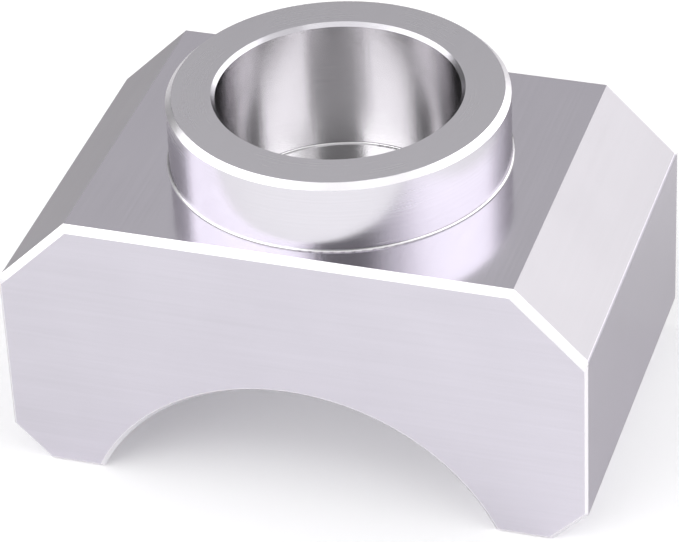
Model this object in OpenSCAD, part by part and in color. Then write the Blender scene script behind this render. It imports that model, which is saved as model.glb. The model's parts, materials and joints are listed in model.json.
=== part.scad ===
// Jack saddle adapter: one block of aluminium, milled from the solid.
// The cradle between its two feet straddles a round axle tube, and the blind
// socket in the boss on top slips over the post of a jack.
// Origin at the centre of the base: +X across the block, +Y along the tube, +Z up the socket.

/* [Block] */
// Width over the two side faces
block_w = 100.4; // [96:0.1:120]
// Depth over the front and back faces, along the axle tube
block_d = 63.6; // [62:0.1:80]
// Height of the top face above the feet
block_h = 49.2; // [44:0.1:60]
// Leg of the large 45 degree chamfer along each side of the top
shoulder_chamfer = 12.25; // [6:0.05:18]
// Leg of the small 45 degree chamfer outside each foot
foot_chamfer = 6.2; // [3:0.05:9]

/* [Cradle] */
// Diameter of the axle tube that the cradle is cut to
tube_d = 76.2; // [68:0.1:84]
// Height of the cradle's crown above the feet
cradle_rise = 21.9; // [16:0.1:28]

/* [Boss and socket] */
// Diameter of the round boss on the top face
boss_d = 57.2; // [50:0.1:59]
// Height of the boss above the top face
boss_h = 12.7; // [6:0.1:20]
// Diameter of the socket for the jack's post
socket_d = 40.8; // [32:0.1:46]
// Depth of the socket below the rim of the boss
socket_depth = 24.2; // [12:0.1:32]

/* [Edges] */
// Leg of the break along the top and the large chamfers of the front and back faces
face_break = 1.1; // [0.4:0.05:1.6]
// Leg of the break round the feet and the cradle of the front and back faces
foot_break = 0.7; // [0.2:0.05:1.2]
// Leg of the fine break down the four upright edges and along the foot of each large chamfer
fine_break = 0.4; // [0.1:0.05:0.8]
// Leg of the chamfer round the rim of the boss
rim_chamfer = 1; // [0.3:0.05:2]
// Leg of the chamfer at the mouth of the socket
mouth_chamfer = 0.65; // [0.2:0.05:1.5]
// Radius that the cutter leaves where the boss meets the top face
boss_fillet = 0.5; // [0.2:0.05:1.2]
// Radius that the cutter leaves where the socket's wall meets its floor
floor_fillet = 0.4; // [0.2:0.05:1.2]

/* [Hidden] */
$fn = 180;
// Cutters reach this far past the surface that they open
past = 1;
half_w = block_w / 2;
half_d = block_d / 2;
// Height at which the large chamfers run out into the side faces
shoulder_z = block_h - shoulder_chamfer;
shoulder_x = half_w - shoulder_chamfer;
foot_x = half_w - foot_chamfer;
// The tube's axis lies below the feet, so the cradle is less than half round
tube_r = tube_d / 2;
tube_z = cradle_rise - tube_r;
boss_r = boss_d / 2;
boss_top = block_h + boss_h;
socket_r = socket_d / 2;
socket_floor = boss_top - socket_depth;

// The same cut at the front face and at the back face
module front_and_back() {
    children();
    mirror([0, 1, 0])
        children();
}

// The same cut on the right side and on the left side
module right_and_left() {
    children();
    mirror([1, 0, 0])
        children();
}

// Block with its four long chamfers
module block() {
    rotate([90, 0, 0])
        linear_extrude(height = block_d, center = true)
            polygon([
                [foot_x, 0],
                [half_w, foot_chamfer],
                [half_w, shoulder_z],
                [shoulder_x, block_h],
                [-shoulder_x, block_h],
                [-half_w, shoulder_z],
                [-half_w, foot_chamfer],
                [-foot_x, 0]
            ]);
}

// Round boss on the top face, with the cutter's radius round its foot
module boss() {
    rotate_extrude()
        difference() {
            polygon([
                [0, cradle_rise + past],
                [boss_r + boss_fillet, cradle_rise + past],
                [boss_r + boss_fillet, block_h + boss_fillet],
                [boss_r, block_h + boss_fillet],
                [boss_r, boss_top - rim_chamfer],
                [boss_r - rim_chamfer, boss_top],
                [0, boss_top]
            ]);
            translate([boss_r + boss_fillet, block_h + boss_fillet])
                circle(r = boss_fillet);
        }
}

// Blind socket, widening at its mouth, with a small radius round its floor
module socket_cut() {
    rotate_extrude()
        difference() {
            polygon([
                [0, socket_floor],
                [socket_r, socket_floor],
                [socket_r, boss_top - mouth_chamfer],
                [socket_r + mouth_chamfer + past, boss_top + past],
                [0, boss_top + past]
            ]);
            translate([socket_r - floor_fillet, socket_floor])
                difference() {
                    square(floor_fillet);
                    translate([0, floor_fillet])
                        circle(r = floor_fillet);
                }
        }
}

// Cradle along the tube, with its edge broken by a cone at each face
module cradle_cut() {
    translate([0, 0, tube_z])
        rotate([90, 0, 0])
            cylinder(r = tube_r, h = block_d + 2 * past, center = true);
    front_and_back()
        translate([0, -half_d + foot_break, tube_z])
            rotate([90, 0, 0])
                cylinder(r1 = tube_r, r2 = tube_r + foot_break + past, h = foot_break + past);
}

// Bar that planes a straight edge of the front face down to a 45 degree break.
// The edge's middle lies at [x, z] on that face; lean turns its outward side from up towards +X.
// The bar runs one leg past each end of the edge, into the break round the corner.
module edge_bar(x, z, lean, leg, edge) {
    length = edge + 2 * leg;
    side = 2 * leg;
    translate([x, -half_d, z])
        rotate([0, lean, 0])
            translate([0, leg / 2, -leg / 2])
                rotate([45, 0, 0])
                    translate([-length / 2, -side / 2, 0])
                        cube([length, side, side]);
}

// Breaks along the top of the front face, which stop level with the foot of the large chamfers
module face_break_cut() {
    edge_bar(0, block_h, 0, face_break, 2 * shoulder_x);
    right_and_left()
        intersection() {
            edge_bar(half_w - shoulder_chamfer / 2, block_h - shoulder_chamfer / 2, 45, face_break,
                shoulder_chamfer * sqrt(2));
            translate([0, -block_d, shoulder_z])
                cube([block_w, block_d, block_h]);
        }
}

// Breaks along the feet and the small chamfers of the front face
module foot_break_cut() {
    edge_bar(0, 0, 180, foot_break, 2 * foot_x);
    right_and_left()
        edge_bar(half_w - foot_chamfer / 2, foot_chamfer / 2, 135, foot_break, foot_chamfer * sqrt(2));
}

// Fine break down the upright edge at the right of the front face
module upright_break_cut() {
    edge_bar(half_w, (foot_chamfer + shoulder_z) / 2, 90, fine_break, shoulder_z - foot_chamfer);
}

// Fine break along the foot of the large chamfer, halfway between its slope and the side face
module shoulder_break_cut() {
    half_slope = 45 / 2;
    side = 2 * fine_break;
    translate([half_w, 0, shoulder_z])
        rotate([0, 90 - half_slope, 0])
            translate([-side, -half_d - past, -fine_break * sin(half_slope)])
                cube([2 * side, block_d + 2 * past, side]);
}

module saddle_body() {
    color("#b9b6bf")
        difference() {
            union() {
                block();
                boss();
            }
            socket_cut();
            cradle_cut();
            front_and_back() {
                face_break_cut();
                foot_break_cut();
                right_and_left()
                    upright_break_cut();
            }
            right_and_left()
                shoulder_break_cut();
        }
}

saddle_body();
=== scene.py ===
"""Jack saddle adapter: a block of aluminium, milled all over, on a pale studio floor."""
import json
import math

import bpy
from mathutils import Matrix, Vector


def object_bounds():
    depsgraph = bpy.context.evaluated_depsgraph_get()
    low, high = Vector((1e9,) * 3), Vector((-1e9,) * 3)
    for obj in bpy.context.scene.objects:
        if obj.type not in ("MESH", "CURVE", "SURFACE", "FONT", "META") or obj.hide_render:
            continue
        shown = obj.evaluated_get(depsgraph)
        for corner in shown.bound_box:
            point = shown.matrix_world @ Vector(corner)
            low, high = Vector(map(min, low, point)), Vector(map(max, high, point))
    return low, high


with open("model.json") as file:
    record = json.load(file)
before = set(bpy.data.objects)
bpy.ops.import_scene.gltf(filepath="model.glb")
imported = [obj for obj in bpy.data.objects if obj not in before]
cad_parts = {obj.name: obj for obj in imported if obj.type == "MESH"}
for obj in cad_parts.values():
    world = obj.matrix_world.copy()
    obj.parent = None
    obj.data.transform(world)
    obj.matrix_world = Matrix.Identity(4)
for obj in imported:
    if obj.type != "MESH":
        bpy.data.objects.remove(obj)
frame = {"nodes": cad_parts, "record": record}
cad_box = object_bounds()

# Camera
# A long lens stands in front of the block, to its right and above it, and leans a little. Its
# place and its angles were solved from the edges and circles that the photograph shows. The lens
# and its sensor are in millimetres, and the other lengths in metres.
camera_azimuth = math.radians(18.7949)
camera_elevation = math.radians(35.3441)
camera_roll = math.radians(-2.8174)
camera_place = Vector((0.167163, -0.494926, 0.395574))
camera_lens = 199.37
camera_sensor = 36
nearest_seen = 0.01
furthest_seen = 50

ahead = Vector((
    -math.sin(camera_azimuth) * math.cos(camera_elevation),
    math.cos(camera_azimuth) * math.cos(camera_elevation),
    -math.sin(camera_elevation),
))
level_right = Vector((math.cos(camera_azimuth), math.sin(camera_azimuth), 0))
level_up = level_right.cross(ahead)
camera_right = level_right * math.cos(camera_roll) + level_up * math.sin(camera_roll)
camera_up = level_up * math.cos(camera_roll) - level_right * math.sin(camera_roll)

camera_data = bpy.data.cameras.new("photograph_camera")
camera_data.lens = camera_lens
camera_data.sensor_width = camera_sensor
camera_data.clip_start = nearest_seen
camera_data.clip_end = furthest_seen
camera = bpy.data.objects.new("photograph_camera", camera_data)
bpy.context.scene.collection.objects.link(camera)
camera.matrix_world = Matrix((
    (camera_right.x, camera_up.x, -ahead.x, camera_place.x),
    (camera_right.y, camera_up.y, -ahead.y, camera_place.y),
    (camera_right.z, camera_up.z, -ahead.z, camera_place.z),
    (0, 0, 0, 1),
))
bpy.context.scene.camera = camera
bpy.context.scene.view_settings.view_transform = "Standard"

# Floor
# A wide sheet of matt white paper, which takes the block's shadow. It glows a little, but only to
# the camera and in the metal, so that it shows white there and throws no more light on the block.
floor_reach = 6.0
floor_colour = (0.88, 0.88, 0.885, 1)
floor_glow = 0.18
floor_roughness = 0.9
floor_gloss = 0.1

floor_mesh = bpy.data.meshes.new("paper_floor")
floor_mesh.from_pydata(
    [(x * floor_reach, y * floor_reach, 0) for x, y in ((-1, -1), (1, -1), (1, 1), (-1, 1))],
    [],
    [(0, 1, 2, 3)],
)
floor = bpy.data.objects.new("paper_floor", floor_mesh)
bpy.context.scene.collection.objects.link(floor)

paper = bpy.data.materials.new("white_paper")
paper.use_nodes = True
nodes = paper.node_tree.nodes
links = paper.node_tree.links
paper_shader = nodes["Principled BSDF"]
paper_shader.inputs["Base Color"].default_value = floor_colour
paper_shader.inputs["Roughness"].default_value = floor_roughness
paper_shader.inputs["Specular IOR Level"].default_value = floor_gloss

seen_by = nodes.new("ShaderNodeLightPath").outputs
any_view = seen_by["Is Camera Ray"]
for ray in ("Is Glossy Ray", "Is Transmission Ray"):
    larger = nodes.new("ShaderNodeMath")
    larger.operation = "MAXIMUM"
    links.new(any_view, larger.inputs[0])
    links.new(seen_by[ray], larger.inputs[1])
    any_view = larger.outputs[0]
glow_strength = nodes.new("ShaderNodeMath")
glow_strength.operation = "MULTIPLY"
glow_strength.inputs[1].default_value = floor_glow
links.new(any_view, glow_strength.inputs[0])
glow = nodes.new("ShaderNodeEmission")
links.new(glow_strength.outputs[0], glow.inputs["Strength"])
paper_and_glow = nodes.new("ShaderNodeAddShader")
links.new(paper_shader.outputs[0], paper_and_glow.inputs[0])
links.new(glow.outputs[0], paper_and_glow.inputs[1])
links.new(paper_and_glow.outputs[0], nodes["Material Output"].inputs["Surface"])
floor_mesh.materials.append(paper)

# Light
# Wide soft boxes stand to the left and right, one above another, faint ones hang behind and
# overhead, and one hangs over the front. The room between them is dim, which gives the bare metal
# its dark bands.
room_light = 0.19
lamp_distance = 1.5

# Each lamp has its azimuth from -Y towards +X and its elevation in degrees, its width and height
# in metres, and the radiance that it shows in a mirror. Its power is that radiance times pi times
# its area. It faces the object.
for lamp_name, azimuth, elevation, lamp_width, lamp_height, radiance in (
    ("low_left_soft_box", -54.0, 20.0, 2.8, 0.8, 2.6),
    ("high_left_soft_box", -54.0, 45.6, 2.4, 0.51, 2.1),
    ("low_right_soft_box", 107.1, 27.0, 3.42, 0.96, 1.35),
    ("high_right_soft_box", 89.0, 41.9, 2.3, 1.2, 0.85),
    ("rear_right_soft_box", 143.0, 13.5, 1.3, 0.8, 0.95),
    ("back_soft_box", -150.0, 41.0, 3.0, 0.66, 0.46),
    ("front_soft_box", 8.0, 60.0, 1.3, 0.42, 1.3),
    ("overhead_soft_box", 0.0, 90.0, 1.3, 1.2, 0.45),
):
    lamp_data = bpy.data.lights.new(lamp_name, "AREA")
    lamp_data.shape = "RECTANGLE"
    lamp_data.size = lamp_width
    lamp_data.size_y = lamp_height
    lamp_data.energy = radiance * math.pi * lamp_width * lamp_height
    lamp = bpy.data.objects.new(lamp_name, lamp_data)
    bpy.context.scene.collection.objects.link(lamp)
    turn = math.radians(azimuth)
    tilt = math.radians(elevation)
    towards = Vector((
        math.sin(turn) * math.cos(tilt),
        -math.cos(turn) * math.cos(tilt),
        math.sin(tilt),
    ))
    lamp.location = towards * lamp_distance
    lamp.rotation_mode = "QUATERNION"
    lamp.rotation_quaternion = towards.to_track_quat("Z", "Y")

world = bpy.data.worlds.new("dim_room")
world.use_nodes = True
world.node_tree.nodes["Background"].inputs["Color"].default_value = (1, 1, 1, 1)
world.node_tree.nodes["Background"].inputs["Strength"].default_value = room_light
bpy.context.scene.world = world

# Machined body
# One solid piece of aluminium, left bare. The block's flats are milled with the cutter's passes
# along the tube, and the boss and the socket are turned. Every sharp edge is broken, and lighter
# in colour there, partly from wear and partly as a painted highlight.
body = frame["nodes"]["saddle_body"]

# Lengths are in millimetres, as the finish's point is. The outside comes from the frame's box, and
# the socket and the cradle from its mounts. A leg is a chamfer's or a break's reach along a face.
millimetres = 1000.0
mounts = {mount["name"]: mount for mount in frame["record"]["mounts"]}
half_width, half_depth, boss_height = (metres * millimetres for metres in cad_box[1])
socket_radius = mounts["post_socket"]["dims"]["r_mm"]
cradle_radius = mounts["axle_cradle"]["dims"]["r_mm"]
crown_height = mounts["axle_cradle"]["pos_m"][2] * millimetres
boss_radius = 28.6
boss_rise = 12.7
socket_depth = 24.2
shoulder_leg = 12.25
foot_leg = 6.2
rim_leg = 1.0
mouth_leg = 0.65
face_leg = 1.1
foot_face_leg = 0.7
fine_leg = 0.4
boss_corner = 0.5
floor_corner = 0.4
top_height = boss_height - boss_rise
socket_floor_height = boss_height - socket_depth
shoulder_x = half_width - shoulder_leg
shoulder_height = top_height - shoulder_leg
foot_x = half_width - foot_leg
tube_height = crown_height - cradle_radius
cradle_half_width = math.sqrt(cradle_radius ** 2 - tube_height ** 2)
# A point this far above a flat counts as off it.
off_flat = 0.002
# The share of a 45 degree slope's normal along each of its axes, and the share along X of the
# fine break's normal, which lies halfway between such a slope and the side face.
slant = math.sqrt(0.5)
fine_slant = math.cos(math.radians(45 / 2))

milled_colour = (0.625, 0.60, 0.66)
boss_colour = (0.715, 0.695, 0.74)
socket_colour = (0.745, 0.735, 0.75)
# The socket mouth's darker colour is painted shade; its roughness is its own finish.
mouth_painted_shade_colour = (0.56, 0.545, 0.58)
# The large chamfers' darker colour is painted shade; their greater roughness is their own finish.
chamfer_painted_shade_colour = (0.43, 0.415, 0.44)
# The edges' light colour is partly wear and partly a painted highlight.
edge_wear_and_highlight_colour = (0.88, 0.86, 0.89)
grazing_tint = (0.67, 0.66, 0.67, 1)
milled_roughness = 0.14
boss_roughness = 0.25
socket_roughness = 0.17
mouth_roughness = 0.22
chamfer_roughness = 0.4
edge_roughness = 0.3


def put(tree, kind, operation, values):
    """A node of one kind, with its operation where it has one. Each value is a number, a tuple or
    another node's output, and goes to the input of its place or its name."""
    node = tree.nodes.new(kind)
    if operation:
        node.operation = operation
    for place, value in (values.items() if isinstance(values, dict) else enumerate(values)):
        if isinstance(value, bpy.types.NodeSocket):
            tree.links.new(value, node.inputs[place])
        else:
            node.inputs[place].default_value = value
    return node


def maths(tree, operation, *values):
    """The output of a Math node."""
    return put(tree, "ShaderNodeMath", operation, values).outputs[0]


def arrows(tree, operation, *values):
    """The output of a Vector Math node. A length comes out of its second output."""
    node = put(tree, "ShaderNodeVectorMath", operation, values)
    return node.outputs[1 if operation == "LENGTH" else 0]


def scaled(tree, arrow, factor):
    """A vector or a colour times a number."""
    return put(tree, "ShaderNodeVectorMath", "SCALE", {"Vector": arrow, "Scale": factor}).outputs[0]


def arrow_of(tree, x=0.0, y=0.0, z=0.0):
    """A vector made of its three parts."""
    return put(tree, "ShaderNodeCombineXYZ", None, (x, y, z)).outputs[0]


def parts_of(tree, arrow):
    """The three outputs X, Y and Z of a vector."""
    return put(tree, "ShaderNodeSeparateXYZ", None, (arrow,)).outputs


def from_axis(tree, point):
    """The level vector from the socket's axis to a point: the point with its height left out."""
    return arrows(tree, "MULTIPLY", point, (1, 1, 0))


def both(tree, one, other):
    """The mask where two masks hold: their product."""
    return maths(tree, "MULTIPLY", one, other)


def blend_arrows(tree, share, low, high):
    """A mix of two vectors, low where the share is 0 and high where it is 1."""
    node = tree.nodes.new("ShaderNodeMix")
    node.data_type = "VECTOR"
    tree.links.new(share, node.inputs["Factor"])
    tree.links.new(low, node.inputs[4])
    tree.links.new(high, node.inputs[5])
    return node.outputs[1]


def new_group(name, inputs, outputs):
    """A shader node group with its named sockets. It gives back the tree and its inner ends."""
    tree = bpy.data.node_groups.new(name, "ShaderNodeTree")
    for label, kind in inputs:
        tree.interface.new_socket(label, in_out="INPUT", socket_type="NodeSocket" + kind)
    for label, kind in outputs:
        tree.interface.new_socket(label, in_out="OUTPUT", socket_type="NodeSocket" + kind)
    given = tree.nodes.new("NodeGroupInput").outputs
    result = tree.nodes.new("NodeGroupOutput").inputs
    return tree, given, result


# The small radius between a turned wall and the flat at its foot. The surface turns there about a
# circle, so its normal points at that circle: out times the run to it plus up times the rise to
# it. Side is 1 where the metal is inside the wall, and -1 where it is outside.
corner_slack = 0.04

corner_normals, given, result = new_group(
    "corner_normals",
    [
        ("Point", "Vector"),
        ("Normal", "Vector"),
        ("Wall Radius", "Float"),
        ("Centre Radius", "Float"),
        ("Foot Height", "Float"),
        ("Wall Top", "Float"),
        ("Side", "Float"),
    ],
    [("Normal", "Vector")],
)
tree = corner_normals
wall = given["Wall Radius"]
centre = given["Centre Radius"]
foot = given["Foot Height"]
height = parts_of(tree, given["Point"])["Z"]
level = from_axis(tree, given["Point"])
radius = arrows(tree, "LENGTH", level)
outward = arrows(tree, "NORMALIZE", level)
corner = maths(tree, "ABSOLUTE", maths(tree, "SUBTRACT", centre, wall))
run = maths(tree, "MULTIPLY", given["Side"], maths(tree, "SUBTRACT", centre, radius))
run = maths(tree, "MULTIPLY", given["Side"], maths(tree, "MAXIMUM", run, 0.0))
rise = maths(tree, "SUBTRACT", maths(tree, "ADD", foot, corner), height)
lift = arrow_of(tree, z=maths(tree, "MAXIMUM", rise, 0.0))
aimed = arrows(tree, "NORMALIZE", arrows(tree, "ADD", scaled(tree, outward, run), lift))
middle = maths(tree, "MULTIPLY", maths(tree, "ADD", centre, wall), 0.5)
off_middle = maths(tree, "ABSOLUTE", maths(tree, "SUBTRACT", radius, middle))
half_band = maths(tree, "MULTIPLY_ADD", corner, 0.5, corner_slack)
within = maths(tree, "LESS_THAN", off_middle, half_band)
above = maths(tree, "GREATER_THAN", height, maths(tree, "ADD", foot, off_flat))
below = maths(tree, "LESS_THAN", height, given["Wall Top"])
on_corner = both(tree, within, both(tree, above, below))
tree.links.new(blend_arrows(tree, on_corner, given["Normal"], aimed), result["Normal"])


def noise(tree, point, detail, scale=1.0, roughness=0.5):
    """Smooth noise about a half, with as many clouds to a unit of length as its scale."""
    return put(tree, "ShaderNodeTexNoise", None, {
        "Vector": point,
        "Scale": scale,
        "Detail": detail,
        "Roughness": roughness,
    }).outputs[0]


# Milling marks: noise drawn out along Y, one streak to each pass of a cutter's tooth.
milling_marks, given, result = new_group(
    "milling_marks",
    [("Point", "Vector"), ("Spacing", "Float"), ("Length", "Float")],
    [("Height", "Float")],
)
tree = milling_marks
stretch = arrow_of(tree, given["Spacing"], given["Length"], given["Spacing"])
drawn = arrows(tree, "DIVIDE", given["Point"], stretch)
tree.links.new(noise(tree, drawn, detail=3.0, roughness=0.65), result["Height"])

# Turning marks: rings, one to each turn of the feed, and the faint upright ripple of the tool,
# which changes slowly with the height.
ripple_drift = 0.06

turning_marks, given, result = new_group(
    "turning_marks",
    [("Point", "Vector"), ("Feed", "Float"), ("Ripple", "Float")],
    [("Rings", "Float"), ("Ripples", "Float")],
)
tree = turning_marks
height = parts_of(tree, given["Point"])["Z"]
level = from_axis(tree, given["Point"])
radius = arrows(tree, "LENGTH", level)
outward = arrows(tree, "NORMALIZE", level)
turned_rings = tree.nodes.new("ShaderNodeTexNoise")
turned_rings.noise_dimensions = "1D"
turned_rings.inputs["Scale"].default_value = 1.0
turned_rings.inputs["Detail"].default_value = 3.0
travel = maths(tree, "DIVIDE", maths(tree, "ADD", radius, height), given["Feed"])
tree.links.new(travel, turned_rings.inputs["W"])
tree.links.new(turned_rings.outputs[0], result["Rings"])
around = scaled(tree, outward, maths(tree, "DIVIDE", radius, given["Ripple"]))
drift = arrow_of(tree, z=maths(tree, "MULTIPLY", height, ripple_drift))
ripple_point = arrows(tree, "ADD", around, drift)
tree.links.new(noise(tree, ripple_point, detail=2.0), result["Ripples"])

# Broken edges: the distance from the nearest one. Inside the front face's outline that is the
# distance from its lines plus the distance behind the face, less the leg of the break. The boss
# stands off the block, so its own edges are the only ones near it.
far_from_block = 100.0
foot_line = 0.15
foot_line_width = 0.1
rim_width = 0.55


def least(tree, values):
    """The smallest of several outputs."""
    lowest = values[0]
    for value in values[1:]:
        lowest = maths(tree, "MINIMUM", lowest, value)
    return lowest


def from_corner(tree, along, up, corner_along, corner_up):
    """The distance from a corner line that runs square to two coordinates."""
    run = maths(tree, "SUBTRACT", along, corner_along)
    rise = maths(tree, "SUBTRACT", up, corner_up)
    return arrows(tree, "LENGTH", arrow_of(tree, run, rise))


edge_distance, given, result = new_group(
    "edge_distance",
    [("Point", "Vector")],
    [("Distance", "Float")],
)
tree = edge_distance
across, depth, height = parts_of(tree, arrows(tree, "ABSOLUTE", given["Point"]))
radius = arrows(tree, "LENGTH", from_axis(tree, given["Point"]))
behind = maths(tree, "SUBTRACT", half_depth, depth)
from_side = maths(tree, "SUBTRACT", half_width, across)
from_tube = from_corner(tree, across, height, 0.0, tube_height)
up_slope = maths(tree, "ADD", across, height)
down_slope = maths(tree, "SUBTRACT", across, height)
shoulder_line = (shoulder_x + top_height) * slant - face_leg
foot_slope_line = foot_x * slant - foot_face_leg
from_face_breaks = [
    maths(tree, "SUBTRACT", top_height - face_leg, height),
    maths(tree, "MULTIPLY_ADD", up_slope, -slant, shoulder_line),
    maths(tree, "SUBTRACT", from_side, fine_leg),
    maths(tree, "SUBTRACT", height, foot_face_leg),
    maths(tree, "MULTIPLY_ADD", down_slope, -slant, foot_slope_line),
    maths(tree, "SUBTRACT", from_tube, cradle_radius + foot_face_leg),
]
above_block = maths(tree, "GREATER_THAN", height, top_height + off_flat)
off_block = maths(tree, "MULTIPLY", above_block, far_from_block)
from_face = maths(tree, "ADD", least(tree, from_face_breaks), behind)
from_face = maths(tree, "ADD", from_face, off_block)
long_corners = [
    from_corner(tree, across, height, *corner_place)
    for corner_place in (
        (half_width, shoulder_height),
        (half_width, foot_leg),
        (foot_x, 0.0),
        (cradle_half_width, 0.0),
    )
]
half_rim = rim_leg / 2
from_rim = from_corner(tree, radius, height, boss_radius - half_rim, boss_height - half_rim)
from_foot = from_corner(tree, radius, height, boss_radius + foot_line, top_height + foot_line)
turned_corners = [
    maths(tree, "SUBTRACT", from_rim, rim_width),
    maths(tree, "SUBTRACT", from_foot, foot_line_width),
]
tree.links.new(least(tree, [from_face, *long_corners, *turned_corners]), result["Distance"])


def place_group(tree, group, **values):
    """A group node in a tree, with its inputs given by name, words joined by underscores."""
    node = tree.nodes.new("ShaderNodeGroup")
    node.node_tree = group
    for name, value in values.items():
        socket = node.inputs[name.replace("_", " ").title()]
        if isinstance(value, bpy.types.NodeSocket):
            tree.links.new(value, socket)
        else:
            socket.default_value = value
    return node.outputs


metal = bpy.data.materials.new("machined_aluminium")
metal.use_nodes = True
tree = metal.node_tree
shader = tree.nodes["Principled BSDF"]
shader.inputs["Metallic"].default_value = 1
shader.inputs["Specular Tint"].default_value = grazing_tint

point = scaled(tree, tree.nodes.new("ShaderNodeTexCoord").outputs["Object"], millimetres)
surface = tree.nodes.new("ShaderNodeNewGeometry").outputs
boss_normal = place_group(
    tree,
    corner_normals,
    point=point,
    normal=surface["Normal"],
    wall_radius=boss_radius,
    centre_radius=boss_radius + boss_corner,
    foot_height=top_height,
    wall_top=boss_height - rim_leg,
    side=1.0,
)["Normal"]
true_normal = place_group(
    tree,
    corner_normals,
    point=point,
    normal=boss_normal,
    wall_radius=socket_radius,
    centre_radius=socket_radius - floor_corner,
    foot_height=socket_floor_height,
    wall_top=boss_height - mouth_leg,
    side=-1.0,
)["Normal"]

# Where each finish lies: what is turned, the large chamfers, and the rest, which is milled. The
# facing is the share of a flat's normal along each axis, 1 where the flat is square to that axis.
wall_slack = 0.02
floor_slack = 0.1
shoulder_slack = 0.3
slope_slack = 0.06
small_facing = 0.3
full_facing = 0.9

radius = arrows(tree, "LENGTH", from_axis(tree, point))
parts = parts_of(tree, point)
height = parts["Z"]
on_boss = both(
    tree,
    maths(tree, "LESS_THAN", radius, boss_radius + boss_corner),
    maths(tree, "GREATER_THAN", height, top_height + off_flat),
)
in_socket = both(
    tree,
    maths(tree, "LESS_THAN", radius, socket_radius + wall_slack),
    maths(tree, "GREATER_THAN", height, socket_floor_height - floor_slack),
)
mouth = both(
    tree,
    maths(tree, "LESS_THAN", radius, socket_radius + mouth_leg),
    maths(tree, "GREATER_THAN", height, boss_height - mouth_leg),
)
turned = maths(tree, "MAXIMUM", on_boss, in_socket)
facing = parts_of(tree, arrows(tree, "ABSOLUTE", surface["True Normal"]))
sideways = maths(tree, "LESS_THAN", facing["Y"], small_facing)
sloped = maths(tree, "COMPARE", facing["X"], slant, slope_slack)
above_side = maths(tree, "GREATER_THAN", height, shoulder_height - shoulder_slack)
chamfer = both(tree, sloped, both(tree, sideways, above_side))
chamfer = both(tree, chamfer, maths(tree, "SUBTRACT", 1.0, turned))

# The fine break along the foot of each large chamfer is rounded over by hand, so its normal turns
# from the side face's to the chamfer's with its height. The tiny ledges at the ends of the face
# breaks are dressed off too, at the front towards the corner and at the back towards the side.
fine_slope_slack = 0.02
smallest_facing = 0.1
ledge_slack = 0.1
corner_lean = (0.5, 0.5, slant)
front_or_side = (1, 0, 1)

side_signs = arrows(tree, "MULTIPLY", arrows(tree, "SIGN", point), (1, 1, 0))
side_signs = arrows(tree, "ADD", side_signs, (0, 0, 1))
fine_slope = maths(tree, "COMPARE", facing["X"], fine_slant, fine_slope_slack)
side_break = both(tree, fine_slope, maths(tree, "LESS_THAN", facing["Y"], smallest_facing))
climb = maths(tree, "SUBTRACT", height, shoulder_height - fine_leg)
climb = maths(tree, "DIVIDE", climb, fine_leg * (1 + slant))
rolled = arrows(tree, "NORMALIZE", arrow_of(tree, x=1.0, z=climb))
rolled = arrows(tree, "MULTIPLY", rolled, side_signs)
true_normal = blend_arrows(tree, side_break, true_normal, rolled)
ledge = both(
    tree,
    maths(tree, "GREATER_THAN", facing["Z"], full_facing),
    maths(tree, "COMPARE", height, shoulder_height, ledge_slack),
)
leaning = arrows(tree, "MULTIPLY", side_signs, corner_lean)
leaning = arrows(tree, "NORMALIZE", arrows(tree, "MINIMUM", leaning, front_or_side))
true_normal = blend_arrows(tree, ledge, true_normal, leaning)

# Marks of the tools. On the two end faces the passes run across the block.
cloud_scale = 0.06

end_face = maths(tree, "GREATER_THAN", facing["Y"], full_facing)
swapped = arrow_of(tree, parts["Z"], parts["X"], parts["Y"])
laid = blend_arrows(tree, end_face, point, swapped)
fine_marks = place_group(tree, milling_marks, point=laid, spacing=0.45, length=30.0)["Height"]
broad_marks = place_group(tree, milling_marks, point=laid, spacing=3.5, length=120.0)["Height"]
rings, ripples = place_group(tree, turning_marks, point=point, feed=0.3, ripple=0.7)
clouds = noise(tree, point, detail=3.0, scale=cloud_scale)

# Wear and painted highlight: the broken edges are lighter, partly worn and partly a painted
# highlight, with an outline that the milling marks make ragged.
wear_and_highlight_starts = 0.14
wear_and_highlight_full = 0.03
wear_and_highlight_raggedness = 0.16

from_edge = place_group(tree, edge_distance, point=point)["Distance"]
off_mean = maths(tree, "SUBTRACT", fine_marks, 0.5)
ragged = maths(tree, "MULTIPLY_ADD", off_mean, wear_and_highlight_raggedness, from_edge)
wear_and_highlight_ramp = tree.nodes.new("ShaderNodeMapRange")
wear_and_highlight_ramp.interpolation_type = "SMOOTHSTEP"
wear_and_highlight_ramp.inputs["From Min"].default_value = wear_and_highlight_starts
wear_and_highlight_ramp.inputs["From Max"].default_value = wear_and_highlight_full
tree.links.new(ragged, wear_and_highlight_ramp.inputs["Value"])
wear_and_highlight = wear_and_highlight_ramp.outputs["Result"]

# Colour and roughness: each finish's own, with painted shade in the darker colours of the large
# chamfers and the socket's mouth, and how far the marks, clouds and passes vary them.
mark_shade = 0.09
cloud_shade = 0.08
pass_shade = 0.05
mark_spread = 0.3
cloud_spread = 0.3


def swing(tree, value, depth):
    """A factor about 1: the value's distance from a half, times the depth, plus 1."""
    return maths(tree, "MULTIPLY_ADD", value, depth, 1 - depth / 2)


def blend_numbers(tree, share, low, high):
    """A mix of two numbers or outputs, low where the share is 0 and high where it is 1."""
    return maths(tree, "MULTIPLY_ADD", share, maths(tree, "SUBTRACT", high, low), low)


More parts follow.
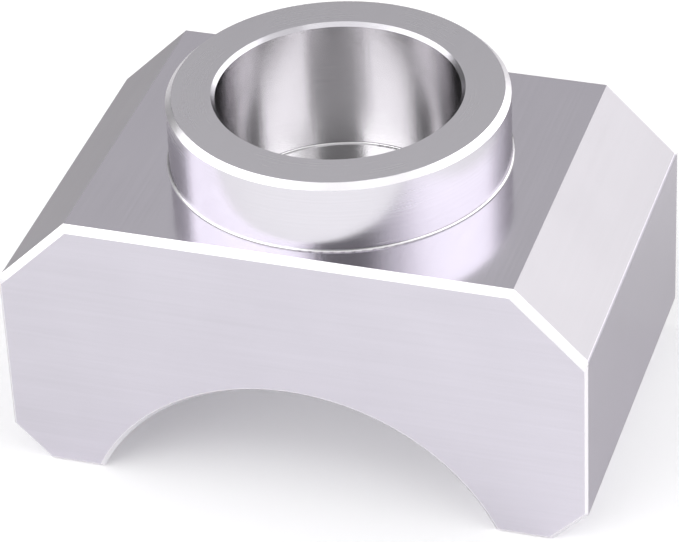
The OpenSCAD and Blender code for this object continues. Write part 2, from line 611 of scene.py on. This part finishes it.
def blend_colours(tree, share, low, high):
    """A mix of two colours, low where the share is 0 and high where it is 1."""
    node = tree.nodes.new("ShaderNodeMix")
    node.data_type = "RGBA"
    tree.links.new(share, node.inputs["Factor"])
    for place, value in ((6, low), (7, high)):
        if isinstance(value, tuple):
            node.inputs[place].default_value = (*value, 1)
        else:
            tree.links.new(value, node.inputs[place])
    return node.outputs[2]


# The large chamfers get a darker colour than the milled flats, which is painted shade.
colour = blend_colours(tree, chamfer, milled_colour, chamfer_painted_shade_colour)
roughness = blend_numbers(tree, chamfer, milled_roughness, chamfer_roughness)
for zone, zone_colour, zone_roughness in (
    (on_boss, boss_colour, boss_roughness),
    (in_socket, socket_colour, socket_roughness),
    # The socket's mouth is darker in colour, which is painted shade.
    (mouth, mouth_painted_shade_colour, mouth_roughness),
):
    colour = blend_colours(tree, zone, colour, zone_colour)
    roughness = blend_numbers(tree, zone, roughness, zone_roughness)
marks = blend_numbers(tree, turned, fine_marks, rings)
shade = maths(tree, "MULTIPLY", swing(tree, marks, mark_shade), swing(tree, clouds, cloud_shade))
shade = maths(tree, "MULTIPLY", shade, swing(tree, broad_marks, pass_shade))
# Near the broken edges the colour turns lighter, partly wear and partly a painted highlight.
colour = blend_colours(tree, wear_and_highlight, scaled(tree, colour, shade), edge_wear_and_highlight_colour)
tree.links.new(colour, shader.inputs["Base Color"])
spread = maths(tree, "MULTIPLY", swing(tree, marks, mark_spread), swing(tree, clouds, cloud_spread))
roughness = maths(tree, "MULTIPLY", roughness, spread)
roughness = blend_numbers(tree, wear_and_highlight, roughness, edge_roughness)
tree.links.new(roughness, shader.inputs["Roughness"])

# Relief of the marks. Its depth is in metres, and the other numbers are shares of it.
relief_depth = 0.000004
pass_relief = 0.6
fine_relief = 0.4
ring_relief = 0.12
ripple_relief = 2.0

fine_height = maths(tree, "MULTIPLY", fine_marks, fine_relief)
ripple_height = maths(tree, "MULTIPLY", ripples, ripple_relief)
milled_height = maths(tree, "MULTIPLY_ADD", broad_marks, pass_relief, fine_height)
turned_height = maths(tree, "MULTIPLY_ADD", rings, ring_relief, ripple_height)
relief = put(tree, "ShaderNodeBump", None, {
    "Distance": relief_depth,
    "Height": blend_numbers(tree, turned, milled_height, turned_height),
    "Normal": true_normal,
}).outputs[0]
tree.links.new(relief, shader.inputs["Normal"])
for slot in body.material_slots:
    slot.material = metal
